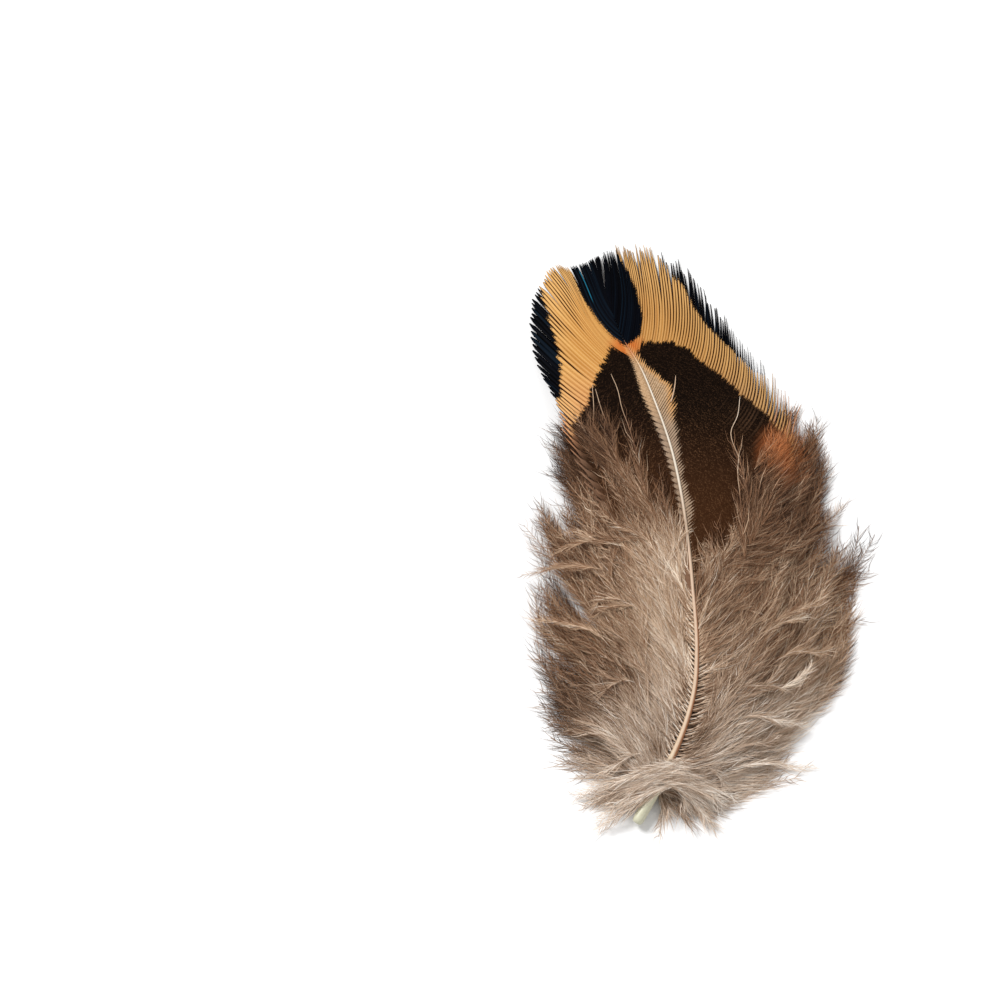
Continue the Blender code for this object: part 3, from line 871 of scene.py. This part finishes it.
def make_afterfeather(material):
    """The small plume below the shaft, whose barbs lie out on the surface."""
    chance = np.random.default_rng([SEED, 40])
    batch = Batch()
    first, last = AFTER_SHAFT[0][0], AFTER_SHAFT[-1][0]
    for side in (-1, 1):
        stations = np.arange(first, last, AFTER_PITCH)
        many = len(stations)
        spots = smooth(AFTER_SHAFT, stations)
        feet = np.column_stack([spots[:, 0], stations])
        share = (stations - stations[0]) / (stations[-1] - stations[0])
        reach = AFTER_REACH[0] + (AFTER_REACH[1] - AFTER_REACH[0]) * share
        lengths = reach * chance.uniform(0.8, 1.15, many)
        leaves = side * AFTER_LEAVES * chance.uniform(0.8, 1.5, many)
        plans, walk = fanned(feet, leaves, 0.4 * leaves, lengths, 14, chance)
        heights = spots[:, 1:] * (1 - 0.8 * ease(walk)) + 0.3 * chance.uniform(0, 1, (many, 1))
        tones = AFTER_TONE + 0.08 * chance.normal(0, 1, many)
        add_plumes(batch, raised(plans, heights), 0.04, 1.0, tones, side, chance)
    stem_y = np.linspace(first, last, 20)
    bends = smooth(AFTER_SHAFT, stem_y)
    stem = np.column_stack([bends[:, 0], stem_y, bends[:, 1]])[None]
    values = {"tone": 0.8, "fine": 0.0, "level": stem[..., 1:2], "rust": 0.0}
    widths = np.linspace(*AFTER_STEM_WIDTHS, len(stem_y))[None]
    add_tubes(batch, stem, UP, widths, RAMUS_SECTION, widths, values)
    shown("afterfeather", batch, material)


def route(points, rings):
    """A smooth line through points that are spaced by how far they lie apart."""
    points = np.array(points, float)
    walked = np.concatenate([[0], np.linalg.norm(np.diff(points, axis=0), axis=1).cumsum()])
    return smooth(np.column_stack([walked, points]), np.linspace(0, walked[-1], rings))


def make_tufts(material):
    """The lowest downy barbs, which fold over the quill to both sides."""
    chance = np.random.default_rng([SEED, 41])
    batch = Batch()
    walk = np.linspace(0, 1, TUFT_RINGS)[:, None]
    for word, side in TUFT_SIDES.items():
        spread = chance.normal(0, 1, (TUFT_BARBS, 1, 3)) * TUFT_SPREAD
        shifts = chance.uniform(*TUFT_SHIFTS, (TUFT_BARBS, 1, 1)) * (1 - 0.6 * walk)
        lines = route(TUFTS[word], TUFT_RINGS) + spread * (0.1 + 1.3 * walk ** 1.5)
        lines = lines + shifts * np.array([0.35, 1.0, 0.1])
        lines = lines + 0.25 * np.sin(6 * walk + chance.uniform(0, 6, (TUFT_BARBS, 1, 3))) * walk
        tones = TUFT_TONES[word] + 0.1 * chance.normal(0, 1, TUFT_BARBS)
        add_plumes(batch, lines, 0.04, 1.0, tones, side, chance, fluff=TUFT_FLUFF)
    shown("base_tufts", batch, material)


def make_wisps(material):
    """Loose ends of down that cross the others here and there."""
    chance = np.random.default_rng([SEED, 43])
    batch = Batch()
    many = WISPS // 2
    for side in (-1, 1):
        stations = chance.uniform(DOWN_START + 1, -2.0, many)
        outer = smooth(BARB_TIPS[side], stations)
        inner = smooth(SWEEP_TIPS[side], stations)
        ends = outer + (inner - outer) * chance.uniform(0, 1, (many, 1))
        begin = chance.uniform(0.1, 0.5, (many, 1))
        starting = barb_plans(side, stations, begin + np.array([[0.0, 0.02]]), ends, BARB_BOWS[-1])
        runs = starting[:, 1] - starting[:, 0]
        first = np.degrees(np.arctan2(runs[:, 0], runs[:, 1])) + chance.normal(0, WISP_TURN, many)
        last = first + chance.normal(0, 2 * WISP_TURN, many)
        lengths = chance.uniform(*WISP_LENGTHS, many)
        plans, walk = fanned(starting[:, 0], first, last, lengths, 16, chance)
        lines = raised(plans, crown(plans) + 0.3 * np.sin(np.pi * walk) + 0.1)
        tones = WISP_TONE + 0.1 * chance.normal(0, 1, many)
        add_plumes(batch, lines, 0.1, 1.0, tones, side, chance, root=0.01, fluff=WISP_FLUFF)
    shown("loose_wisps", batch, material)


def make_strays(material):
    """Downy barbs that have come loose and lie on the vane, bare towards their tips, and tips alone."""
    chance = np.random.default_rng([SEED, 42])
    batch = Batch()
    bare = STRAY_PALER * ease(np.linspace(-0.6, 1.2, 30))
    for points in STRAYS:
        plans = route(points, 30)[None]
        side = 1 if points[0][0] > 0 else -1
        heights = crown(plans) + STRAY_LIFT + STRAY_ROOT_LIFTS[side] * ease((12 - plans[..., 1]) / 8)
        looks = {"root": STRAY_ROOT, "taper": 0.35, "paler": bare}
        add_plumes(batch, raised(plans, heights), 0.0, STRAY_FLUFFY, 0.1, side, chance, **looks)
    walk = np.linspace(0, 1, 12)[:, None]
    for foot, tip, paler, rust in PALE_TIPS:
        plans = (np.array(foot) * (1 - walk) + np.array(tip) * walk)[None]
        plans = turned(plans, chance.normal(0, 4, (1, 1)) * np.linspace(-1, 1, 12)[None])
        lines = raised(plans, crown(plans) + STRAY_LIFT)
        looks = {"root": PALE_TIP_ROOT, "taper": 0.5, "paler": paler, "fluff": 0, "rust": rust}
        add_plumes(batch, lines, 0.0, 1.0, 0.0, 1, chance, **looks)
    shown("stray_barbs", batch, material)


def make_shaft(material):
    """Quill and shaft, extruded ring by ring square to its run, with a blunt end."""
    rounding = np.array(QUILL_ROUNDING)
    straight_part = np.linspace(QUILL_END + SHAFT_FROM, SHAFT_TIP, SHAFT_RINGS)
    stations = np.concatenate([QUILL_END + rounding[:, 0], straight_part])
    places = shaft_points(stations)
    places[:, 2] -= SHAFT_SINKS * ease((stations - NOTCH[1]) / 1.2)
    radii = straight(SHAFT_RADII, stations)
    radii[:len(rounding)] *= rounding[:, 1]
    runs = np.gradient(places, axis=0)
    turns = np.arctan2(runs[:, 0], runs[:, 1])
    slopes = np.arctan2(runs[:, 2], runs[:, 1])
    places = placed(places)
    radii = radii * MM
    bpy.ops.object.select_all(action="DESELECT")
    bpy.ops.mesh.primitive_circle_add(
        vertices=SHAFT_SIDES,
        radius=radii[0],
        fill_type="NGON",
        location=places[0],
        rotation=(math.radians(90) + slopes[0], 0, -turns[0]),
    )
    shaft = bpy.context.object
    shaft.name = "shaft"
    bpy.ops.object.transform_apply(location=True, rotation=True, scale=True)
    bpy.ops.object.mode_set(mode="EDIT")
    bpy.ops.mesh.select_all(action="SELECT")
    for i in range(1, len(places)):
        centre = tuple(places[i])
        bpy.ops.mesh.extrude_region_move(TRANSFORM_OT_translate={"value": tuple(places[i] - places[i - 1])})
        bpy.ops.transform.resize(value=(radii[i] / radii[i - 1],) * 3, center_override=centre)
        bpy.ops.transform.rotate(value=turns[i] - turns[i - 1], orient_axis="Z", center_override=centre)
        bpy.ops.transform.rotate(value=slopes[i - 1] - slopes[i], orient_axis="X", center_override=centre)
    bpy.ops.mesh.select_all(action="SELECT")
    bpy.ops.mesh.normals_make_consistent(inside=False)
    bpy.ops.object.mode_set(mode="OBJECT")
    points = np.empty(len(shaft.data.vertices) * 3)
    shaft.data.vertices.foreach_get("co", points)
    rings = (points.reshape(len(places), SHAFT_SIDES, 3) - places[:, None]) / radii[:, None, None]
    rightward = np.stack([np.cos(turns), -np.sin(turns), np.zeros(len(turns))], axis=-1)[:, None]
    store(shaft.data, "side", (rings * rightward).sum(axis=-1).ravel())
    store(shaft.data, "station", np.repeat(stations, SHAFT_SIDES))
    dressed(shaft, material, smooth_faces=True)


def rgb(red, green, blue):
    """A colour given as it looks on screen, 0 to 255, as the shader wants it."""
    shares = np.array([red, green, blue]) / 255
    linear = np.where(shares < 0.04045, shares / 12.92, ((shares + 0.055) / 1.055) ** 2.4)
    return (*linear.tolist(), 1.0)


class Finish:
    """A material in the making."""

    def __init__(self, name, roughness, specular, sheen):
        self.material = bpy.data.materials.new(name)
        self.material.use_nodes = True
        self.tree = self.material.node_tree
        self.shader = self.tree.nodes["Principled BSDF"]
        self.shader.inputs["Roughness"].default_value = roughness
        self.shader.inputs["Specular IOR Level"].default_value = specular
        self.shader.inputs["Sheen Weight"].default_value = sheen

    def field(self, kind, output, inputs, **settings):
        """One output of a new node, whose inputs are numbers, colours or other fields."""
        made = self.tree.nodes.new(kind)
        for name, value in settings.items():
            setattr(made, name, value)
        for key, value in inputs.items():
            if isinstance(value, Field):
                self.tree.links.new(value.socket, made.inputs[key])
            else:
                made.inputs[key].default_value = value
        return Field(self, made.outputs[output])

    def read(self, key):
        """A value that the mesh keeps on its points."""
        return self.field("ShaderNodeAttribute", "Fac", {}, attribute_name=key)

    def grain(self, *size):
        """Fine uneven grain, 0 to 1, with its size along each axis in metres."""
        return self.field("ShaderNodeGroup", "Grain", {"Size": size}, node_tree=bpy.data.node_groups["grain"])

    def feed(self, key, field):
        self.tree.links.new(field.socket, self.shader.inputs[key])

    def bump(self, height, strength, distance):
        inputs = {"Height": height, "Strength": strength, "Distance": distance}
        self.feed("Normal", self.field("ShaderNodeBump", "Normal", inputs))


class Field:
    """A value or colour over a surface, as its nodes work it out. Values are added, multiplied and so on."""

    def __init__(self, finish, socket):
        self.finish = finish
        self.socket = socket

    def calculated(self, operation, first, second):
        return self.finish.field("ShaderNodeMath", 0, {0: first, 1: second}, operation=operation)

    def __add__(self, other):
        return self.calculated("ADD", self, other)

    def __sub__(self, other):
        return self.calculated("SUBTRACT", self, other)

    def __rsub__(self, other):
        return self.calculated("SUBTRACT", other, self)

    def at_least(self, other):
        return self.calculated("MAXIMUM", self, other)

    def __mul__(self, other):
        return self.calculated("MULTIPLY", self, other)

    def ranged(self, low, high, steps="SMOOTHSTEP"):
        """0 below low, 1 above high, smooth between."""
        inputs = {"Value": self, "From Min": low, "From Max": high}
        return self.finish.field("ShaderNodeMapRange", "Result", inputs, interpolation_type=steps)

    def mixes(self, first, second, blend="MIX"):
        """The first colour where this is 0, the second where it is 1."""
        inputs = {0: self, 6: first, 7: second}
        return self.finish.field("ShaderNodeMix", 2, inputs, data_type="RGBA", blend_type=blend)

    def ramp(self, *stops):
        made = self.finish.field("ShaderNodeValToRGB", "Color", {"Fac": self})
        marks = made.socket.node.color_ramp.elements
        marks[0].position, marks[0].color = stops[0]
        marks[1].position, marks[1].color = stops[-1]
        for place, colour in stops[1:-1]:
            marks.new(place).color = colour
        return made


def grain_group():
    """The node group behind the grain of every finish."""
    group = bpy.data.node_groups.new("grain", "ShaderNodeTree")
    group.interface.new_socket("Size", in_out="INPUT", socket_type="NodeSocketVector")
    group.interface.new_socket("Grain", in_out="OUTPUT", socket_type="NodeSocketFloat")
    given = group.nodes.new("NodeGroupInput")
    place = group.nodes.new("ShaderNodeTexCoord")
    scaled = group.nodes.new("ShaderNodeVectorMath")
    scaled.operation = "DIVIDE"
    noise = group.nodes.new("ShaderNodeTexNoise")
    noise.inputs["Scale"].default_value = 1.0
    noise.inputs["Detail"].default_value = 2.0
    result = group.nodes.new("NodeGroupOutput")
    group.links.new(place.outputs["Object"], scaled.inputs[0])
    group.links.new(given.outputs["Size"], scaled.inputs[1])
    group.links.new(scaled.outputs["Vector"], noise.inputs["Vector"])
    group.links.new(noise.outputs["Fac"], result.inputs["Grain"])


def barbule_pattern(finish):
    """Fine marks that lean forward from the middle of each barb, as its barbules do."""
    slant = finish.read("across") * 0.9
    inputs = {"W": finish.read("along") * 7.0 - slant, "Scale": 1.0, "Detail": 1.0}
    return finish.field("ShaderNodeTexNoise", "Fac", inputs, noise_dimensions="1D")


def gold_band(finish, marks, warm):
    """Gold that is paler along the middle of each barb, partly as a painted highlight, orange at the notch,
    and darkened by painted shade on the side away from the key lamp.
    """
    across = finish.read("across")
    level = finish.read("level")
    gold = finish.read("tone").ramp(
        (0.0, rgb(178, 121, 56)),
        (0.5, rgb(190, 134, 66)),
        (1.0, rgb(201, 148, 80)),
    )
    gold = level.ranged(22.0, 14.0).mixes(gold, rgb(204, 144, 92))
    gold = (marks.ranged(0.5, 0.7) * 0.25).mixes(gold, rgb(176, 118, 60))
    # Painted shade: the gold darkened on the side away from the key lamp
    shaded_gold = level.ranged(22.0, 17.0).mixes(rgb(166, 118, 67), rgb(142, 100, 62))
    gold = finish.read("side_shade").mixes(gold, shaded_gold)
    # Paler crest along each barb's middle: partly the ramus's own paler colour, partly a painted highlight
    gold = (across.ranged(0.45, 0.0) * 0.4).mixes(gold, rgb(232, 190, 132))
    gold = (finish.read("split") * 0.4).mixes(gold, rgb(226, 182, 118))
    return warm.mixes(gold, rgb(190, 104, 46))


def dark_middle(finish, marks, dots):
    """Velvety brown, flecked towards the down, with a few barbs that show as paler ribs."""
    level = finish.read("level")
    dark = level.ranged(16.0, 1.0).mixes(rgb(16, 9, 6), rgb(56, 33, 18))
    specks = dots.ranged(0.54, 0.7) + marks.ranged(0.58, 0.78)
    dark = (specks * (level.ranged(19.0, 9.0) * 0.22 + 0.13)).mixes(dark, rgb(118, 84, 58))
    ribs = finish.read("ribs") * finish.read("across").ranged(0.7, 0.1)
    return ribs.mixes(dark, rgb(104, 76, 56))


def blue_black(finish):
    """The wedge at the tip and the spots at the edges, with painted teal sheen on some barbs and one barb's
    painted teal glint.
    """
    # Blue-black, turning bluer on a few barbs as a painted teal sheen
    blue = finish.read("tone").ramp((0.0, rgb(4, 4, 7)), (0.8, rgb(5, 7, 14)), (1.0, rgb(10, 20, 30)))
    # Painted glint: the one barb that shows teal from the sheen of the blue-black
    teal = finish.read("teal") * finish.read("across").ranged(0.9, 0.2)
    return teal.mixes(blue, rgb(30, 104, 130))


def cream_stripe(finish, marks, warm):
    """The stripe beside the shaft, tan at its rim and greyer low down."""
    level = finish.read("level")
    cream = marks.ranged(0.4, 0.7).mixes(rgb(188, 158, 126), rgb(160, 128, 94))
    cream = level.ranged(17.0, 11.0).mixes(cream, rgb(160, 136, 114))
    rim = finish.read("stripe").ranged(1.1, 0.3) * finish.read("comb") * level.ranged(12.5, 15.0)
    cream = rim.mixes(cream, rgb(206, 150, 88))
    return warm.mixes(cream, rgb(204, 140, 84))


def vane_material():
    finish = Finish("vane_barbs", roughness=0.6, specular=0.015, sheen=0.0)
    read = finish.read
    dots = finish.grain(0.00012, 0.00012, 0.00012)
    marks = barbule_pattern(finish)
    across = read("across")
    rough = (dots - 0.5) * 0.8
    warm = read("notch").ranged(2.5, 0.4)
    heart = (read("heart") + rough - across * 0.26).ranged(-0.12, 0.1)
    wedge = (read("wedge") + rough).ranged(-0.1, 0.1)
    spot = (read("spot") + rough).ranged(-0.12, 0.12)
    stripe = (read("stripe") + rough - across * read("comb")).ranged(-0.25, 0.1) * (1.0 - wedge)
    colour = heart.mixes(gold_band(finish, marks, warm), dark_middle(finish, marks, dots))
    colour = spot.at_least(wedge).mixes(colour, blue_black(finish))
    colour = stripe.mixes(colour, cream_stripe(finish, marks, warm))
    loose = read("level").ranged(9.0, 14.0).mixes(rgb(124, 94, 74), rgb(208, 146, 104))
    colour = read("loose").mixes(colour, loose)
    colour = (read("rust") * 0.8).mixes(colour, rgb(160, 90, 50))
    # Painted shade in the gaps between barbs: colour darkened towards each barb's edges, less on the velvety
    # heart
    gap_shade = read("gap_shade")
    reach = across + read("split") * 0.08 + gap_shade * 0.28
    velvet = heart * (1.0 - stripe)
    edge = reach.ranged(0.86, 1.1) * gap_shade * (0.92 - velvet * 0.92)
    colour = edge.mixes(colour, rgb(64, 38, 20), "MULTIPLY")
    finish.feed("Base Color", (read("under") * 0.5).mixes(colour, rgb(110, 90, 74)))
    finish.feed("Roughness", heart * 0.3 + 0.5)
    finish.bump(marks, 0.35, 0.00004)
    return finish.material


def down_material():
    finish = Finish("down_barbules", roughness=0.65, specular=0.1, sheen=0.05)
    mottle = finish.grain(0.0012, 0.0012, 0.0012) - 0.5
    tone = (finish.read("tone") + mottle * 0.25 + finish.read("fine") * 0.06) * 0.8
    grey = tone.ramp(
        (0.0, rgb(78, 56, 40)),
        (0.4, rgb(154, 124, 100)),
        (0.8, rgb(224, 202, 180)),
        (1.0, rgb(248, 238, 226)),
    )
    warm = tone.ramp(
        (0.0, rgb(52, 30, 17)),
        (0.4, rgb(142, 104, 76)),
        (0.8, rgb(214, 184, 154)),
        (1.0, rgb(246, 230, 210)),
    )
    colour = finish.read("level").ranged(-22.0, -9.0).mixes(grey, warm)
    finish.feed("Base Color", (finish.read("rust") * 0.8).mixes(colour, rgb(202, 124, 72)))
    return finish.material


def horn_material():
    finish = Finish("shaft_horn", roughness=0.4, specular=0.4, sheen=0.0)
    station = finish.read("station")
    side = finish.read("side")
    streaks = finish.grain(0.00006, 0.0015, 0.00006)
    colour = station.ranged(QUILL_END, SHAFT_TIP, "LINEAR").ramp(
        (0.0, rgb(206, 204, 178)),
        (0.06, rgb(214, 210, 182)),
        (0.12, rgb(214, 188, 160)),
        (0.3, rgb(212, 184, 158)),
        (0.45, rgb(196, 168, 142)),
        (0.53, rgb(196, 172, 148)),
        (0.6, rgb(214, 201, 183)),
        (0.82, rgb(216, 204, 186)),
        (0.85, rgb(208, 170, 126)),
        (0.87, rgb(196, 124, 68)),
        (0.885, rgb(176, 98, 46)),
        (0.9, rgb(20, 14, 12)),
        (1.0, rgb(4, 4, 7)),
    )
    lower = station.ranged(-2.0, -10.0)
    # Browner right side, away from the key lamp: partly the horn's own tan, partly painted shade
    brown = side.ranged(0.05, 0.55) * (lower * station.ranged(-24.5, -21.0) * 0.9)
    colour = brown.mixes(colour, rgb(164, 102, 60))
    # Painted shade: a dark line along the right of the upper shaft where its groove lies
    groove_shade = side.ranged(0.55, 0.75) * (1.0 - lower)
    colour = (groove_shade * 0.75).mixes(colour, rgb(70, 52, 40))
    finish.feed("Base Color", (streaks.ranged(0.5, 0.75) * 0.35).mixes(colour, rgb(168, 140, 112)))
    finish.bump(streaks, 0.3, 0.00003)
    return finish.material


def make_floor():
    bpy.ops.object.select_all(action="DESELECT")
    bpy.ops.mesh.primitive_plane_add(size=4.0, location=(0, 0, 0))
    floor = bpy.context.object
    floor.name = "floor"
    finish = Finish("pale_floor", roughness=0.9, specular=0.1, sheen=0.0)
    finish.feed("Base Color", finish.grain(0.02, 0.02, 0.02).mixes(rgb(253, 253, 253), rgb(249, 249, 249)))
    floor.data.materials.append(finish.material)


def make_lights():
    world = bpy.data.worlds.new("studio")
    world.use_nodes = True
    sky = world.node_tree.nodes["Background"]
    sky.inputs["Color"].default_value = (1.0, 1.0, 1.0, 1.0)
    sky.inputs["Strength"].default_value = SURROUNDINGS
    bpy.context.scene.world = world
    for name, (place, size, power) in LAMPS.items():
        lamp = bpy.data.lights.new(name, "AREA")
        lamp.size = size
        lamp.energy = power
        light = bpy.data.objects.new(name, lamp)
        bpy.context.scene.collection.objects.link(light)
        light.location = place
        x, y, z = place
        light.rotation_euler = (math.acos(z / math.hypot(x, y, z)), 0, math.atan2(-y, -x) - math.pi / 2)


def make_camera():
    lens = bpy.data.cameras.new("camera")
    lens.lens = CAMERA_LENS
    lens.sensor_width = 36.0
    lens.clip_start = 0.01
    lens.clip_end = 20.0
    camera = bpy.data.objects.new("camera", lens)
    bpy.context.scene.collection.objects.link(camera)
    tilt = math.radians(CAMERA_ELEVATION)
    camera.location = (
        CAMERA_AIM[0],
        CAMERA_AIM[1] - CAMERA_DISTANCE * math.cos(tilt),
        CAMERA_AIM[2] + CAMERA_DISTANCE * math.sin(tilt),
    )
    camera.rotation_euler = (math.pi / 2 - tilt, 0, 0)
    bpy.context.scene.camera = camera


def main():
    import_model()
    make_camera()
    make_lights()
    grain_group()
    make_floor()
    vane = vane_material()
    down = down_material()
    make_shaft(horn_material())
    for side, word in ((-1, "left"), (1, "right")):
        make_vane(side, word, vane)
        for layer in LAYERS:
            make_down(side, word, layer, down)
    make_afterfeather(down)
    make_tufts(down)
    make_wisps(down)
    make_strays(down)
    bpy.context.scene.view_settings.view_transform = "Standard"


main()
